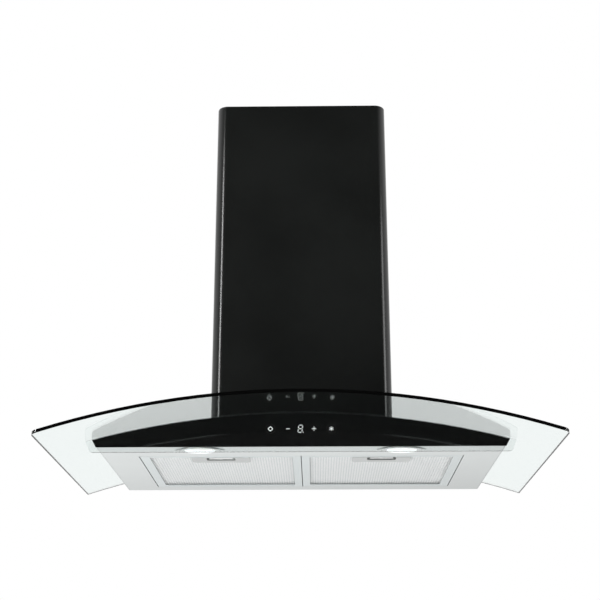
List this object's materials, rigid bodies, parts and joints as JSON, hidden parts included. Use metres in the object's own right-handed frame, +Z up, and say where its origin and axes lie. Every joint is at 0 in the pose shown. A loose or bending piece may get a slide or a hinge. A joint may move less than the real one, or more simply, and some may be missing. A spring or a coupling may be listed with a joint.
{
  "type": "curved glass range hood",
  "caption": "Wall-mounted chimney cooker hood with an arched clear glass canopy, black touch front, drop-down mesh filters, lamps and a telescopic chimney.",
  "frame": {"origin": "middle of the two wall screws of the hanging bracket, on the wall plane", "axes": "+Z up, +Y towards the wall, +X to the right when facing the hood's front, which looks along -Y"},
  "size_m": [0.9, 0.5, 0.7745],
  "materials": {
    "aluminium": "satin anodised",
    "black_enamel": "semi-gloss black enamel",
    "black_plastic": "matt",
    "circuit_green": "lacquered board",
    "clear_glass": "polished, clear, faint green edge",
    "filter_mesh": "bright mesh",
    "grey_plastic": "matt",
    "lamp_diffuser": "frosted white",
    "mask_black": "gloss black print",
    "motor_steel": "grey lacquer",
    "rubber": "matt",
    "satin_steel": "satin brushed",
    "screw_steel": "bright zinc",
    "spring_steel": "drawn wire",
    "white_plastic": "matt",
    "zinc_steel": "zinc-plated"
  },
  "bodies": {
    "hood": {"base_plate": "satin_steel", "blower_housing_left": "black_plastic", "blower_housing_right": "black_plastic", "body_shell": "satin_steel", "box_screws": "screw_steel", "cable_gland": "black_plastic", "capacitor": "white_plastic", "capacitor_clip": "zinc_steel", "chimney_lower": "black_enamel", "chimney_screws": "screw_steel", "flap_pin": "screw_steel", "flap_seat": "rubber", "front_panel": "clear_glass", "glass_canopy": "clear_glass", "glass_screws": "screw_steel", "glass_seal": "rubber", "glass_washers": "rubber", "inlet_ring_left": "zinc_steel", "inlet_ring_right": "zinc_steel", "lamp_bezel_left": "satin_steel", "lamp_bezel_right": "satin_steel", "lamp_housing_left": "aluminium", "lamp_housing_right": "aluminium", "lamp_lens_left": "lamp_diffuser", "lamp_lens_right": "lamp_diffuser", "motor": "motor_steel", "motor_box": "zinc_steel", "motor_bracket": "zinc_steel", "outlet_collar": "black_plastic", "panel_print": "mask_black", "terminal_box": "white_plastic", "terminal_cover": "white_plastic", "touch_board": "circuit_green", "touch_housing": "black_plastic", "wall_bracket": "zinc_steel"},
    "upper_chimney": {"chimney_upper": "black_enamel", "ceiling_bracket": "zinc_steel", "ceiling_screws": "screw_steel"},
    "filter_left": {"filter_frame_left": "aluminium", "filter_mesh_left": "filter_mesh", "filter_core_left": "filter_mesh", "filter_handle_left": "grey_plastic", "latch_spring_left": "spring_steel"},
    "filter_right": {"filter_frame_right": "aluminium", "filter_mesh_right": "filter_mesh", "filter_core_right": "filter_mesh", "filter_handle_right": "grey_plastic", "latch_spring_right": "spring_steel"},
    "latch_left": {"latch_left": "grey_plastic"},
    "latch_right": {"latch_right": "grey_plastic"},
    "blower_wheel": {"wheel_hub": "zinc_steel", "wheel_blades": "zinc_steel", "wheel_rings": "zinc_steel", "motor_shaft": "screw_steel"},
    "flap_front": {"flap_front": "black_plastic"},
    "flap_rear": {"flap_rear": "black_plastic"}
  },
  "joints": [
    {"name": "upper_chimney_slide", "type": "slide", "parent": "hood", "child": "upper_chimney", "axis": [0, 0, 1], "range_m": [0, 0.3]},
    {"name": "filter_left_hinge", "type": "hinge", "parent": "hood", "child": "filter_left", "pos_m": [-0.1488, -0.0329, -0.23], "axis": [1, 0, 0], "range_deg": [0, 70]},
    {"name": "latch_left_slide", "type": "slide", "parent": "filter_left", "child": "latch_left", "axis": [0, 1, 0], "range_m": [0, 0.006], "stiffness_N_per_m": 350, "springref_m": -0.006, "deforming": ["latch_spring_left"]},
    {"name": "filter_right_hinge", "type": "hinge", "parent": "hood", "child": "filter_right", "pos_m": [0.1488, -0.0329, -0.23], "axis": [1, 0, 0], "range_deg": [0, 70]},
    {"name": "latch_right_slide", "type": "slide", "parent": "filter_right", "child": "latch_right", "axis": [0, 1, 0], "range_m": [0, 0.006], "stiffness_N_per_m": 350, "springref_m": -0.006, "deforming": ["latch_spring_right"]},
    {"name": "blower_spin", "type": "hinge", "parent": "hood", "child": "blower_wheel", "pos_m": [0, -0.118, -0.038], "axis": [1, 0, 0], "continuous": true},
    {"name": "flap_front_hinge", "type": "hinge", "parent": "hood", "child": "flap_front", "pos_m": [0, -0.15, 0.1491], "axis": [-1, 0, 0], "range_deg": [0, 75]},
    {"name": "flap_rear_hinge", "type": "hinge", "parent": "hood", "child": "flap_rear", "pos_m": [0, -0.15, 0.1491], "axis": [1, 0, 0], "range_deg": [0, 75]}
  ]
}
